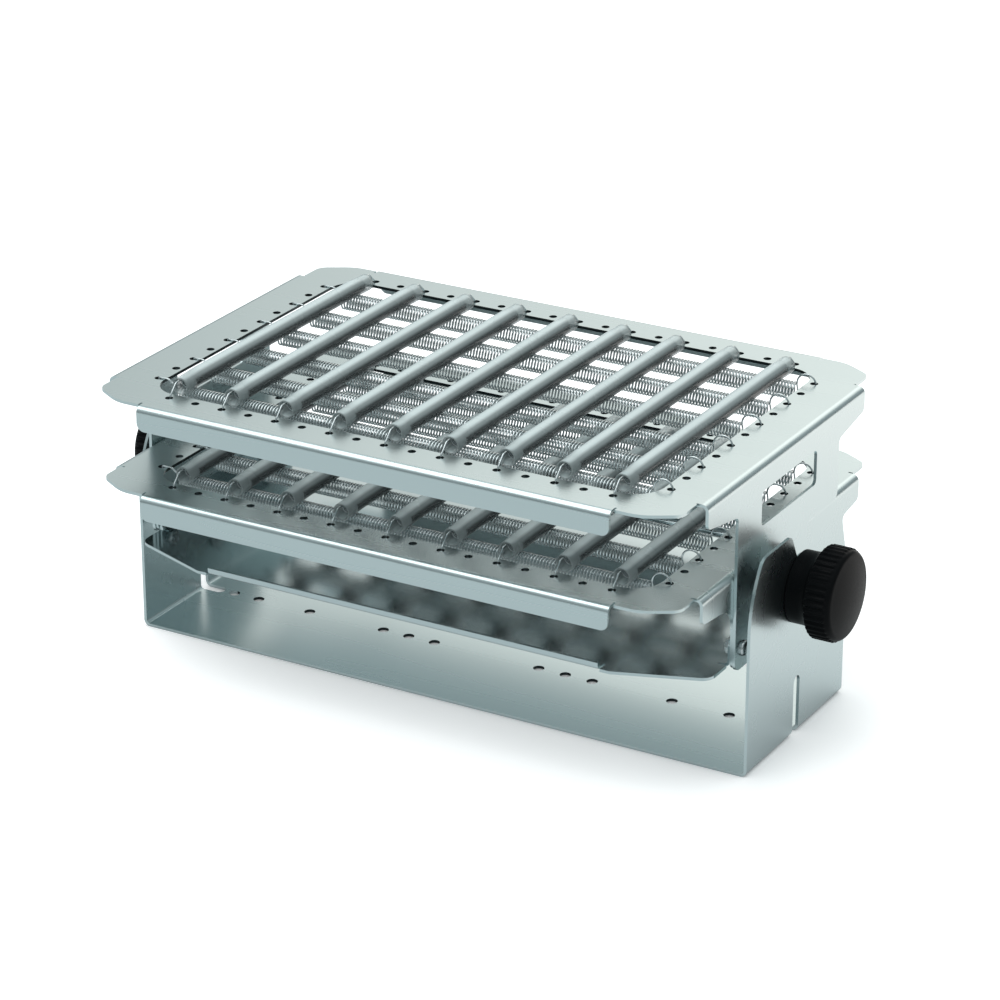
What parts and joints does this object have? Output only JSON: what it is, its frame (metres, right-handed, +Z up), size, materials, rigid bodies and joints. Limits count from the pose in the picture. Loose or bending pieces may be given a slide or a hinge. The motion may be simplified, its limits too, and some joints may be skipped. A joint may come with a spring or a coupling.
{
  "type": "tilting test tube rack",
  "caption": "Sheet steel rack whose spring grids hold test tubes over a support plate, tilting between two ears of a folded base and clamped by ribbed knobs.",
  "frame": {"origin": "middle of the base's underside", "axes": "+X along the rack to its right end, +Y to its back, +Z up"},
  "size_m": [0.394, 0.2234, 0.1559],
  "materials": {
    "sheet_steel": "satin stainless sheet",
    "spring_steel": "bright drawn wire",
    "hose_rubber": "smooth, slightly clear",
    "knob_plastic": "fine matte black",
    "fastener_steel": "turned steel"
  },
  "bodies": {
    "base": {"base_frame": "sheet_steel"},
    "right_knob": {"right_knob": "knob_plastic", "right_stud": "fastener_steel"},
    "left_knob": {"left_knob": "knob_plastic", "left_stud": "fastener_steel"},
    "cradle": {"upper_rack_plate": "sheet_steel", "lower_rack_plate": "sheet_steel", "support_plate": "sheet_steel", "right_pivot_bush": "fastener_steel", "left_pivot_bush": "fastener_steel", "cradle_screws": "fastener_steel", "cradle_nuts": "fastener_steel", "upper_cross_spring_1": "spring_steel", "upper_hose_1": "hose_rubber", "upper_cross_spring_2": "spring_steel", "upper_hose_2": "hose_rubber", "upper_cross_spring_3": "spring_steel", "upper_hose_3": "hose_rubber", "upper_cross_spring_4": "spring_steel", "upper_hose_4": "hose_rubber", "upper_cross_spring_5": "spring_steel", "upper_hose_5": "hose_rubber", "upper_cross_spring_6": "spring_steel", "upper_hose_6": "hose_rubber", "upper_cross_spring_7": "spring_steel", "upper_hose_7": "hose_rubber", "upper_cross_spring_8": "spring_steel", "upper_hose_8": "hose_rubber", "upper_cross_spring_9": "spring_steel", "upper_hose_9": "hose_rubber", "upper_long_spring_1": "spring_steel", "upper_long_spring_2": "spring_steel", "upper_long_spring_3": "spring_steel", "upper_long_spring_4": "spring_steel", "upper_long_spring_5": "spring_steel", "upper_long_spring_6": "spring_steel", "lower_cross_spring_1": "spring_steel", "lower_hose_1": "hose_rubber", "lower_cross_spring_2": "spring_steel", "lower_hose_2": "hose_rubber", "lower_cross_spring_3": "spring_steel", "lower_hose_3": "hose_rubber", "lower_cross_spring_4": "spring_steel", "lower_hose_4": "hose_rubber", "lower_cross_spring_5": "spring_steel", "lower_hose_5": "hose_rubber", "lower_cross_spring_6": "spring_steel", "lower_hose_6": "hose_rubber", "lower_cross_spring_7": "spring_steel", "lower_hose_7": "hose_rubber", "lower_cross_spring_8": "spring_steel", "lower_hose_8": "hose_rubber", "lower_cross_spring_9": "spring_steel", "lower_hose_9": "hose_rubber", "lower_long_spring_1": "spring_steel", "lower_long_spring_2": "spring_steel", "lower_long_spring_3": "spring_steel", "lower_long_spring_4": "spring_steel", "lower_long_spring_5": "spring_steel", "lower_long_spring_6": "spring_steel"}
  },
  "joints": [
    {"name": "cradle_tilt", "type": "hinge", "parent": "base", "child": "cradle", "pos_m": [0, 0, 0.0778], "axis": [1, 0, 0], "range_deg": [-40, 40]},
    {"name": "right_knob_turn", "type": "hinge", "parent": "cradle", "child": "right_knob", "pos_m": [0.18, 0, 0.0778], "axis": [1, 0, 0], "range_deg": [0, 360]},
    {"name": "left_knob_turn", "type": "hinge", "parent": "cradle", "child": "left_knob", "pos_m": [-0.18, 0, 0.0778], "axis": [-1, 0, 0], "range_deg": [0, 360]}
  ]
}
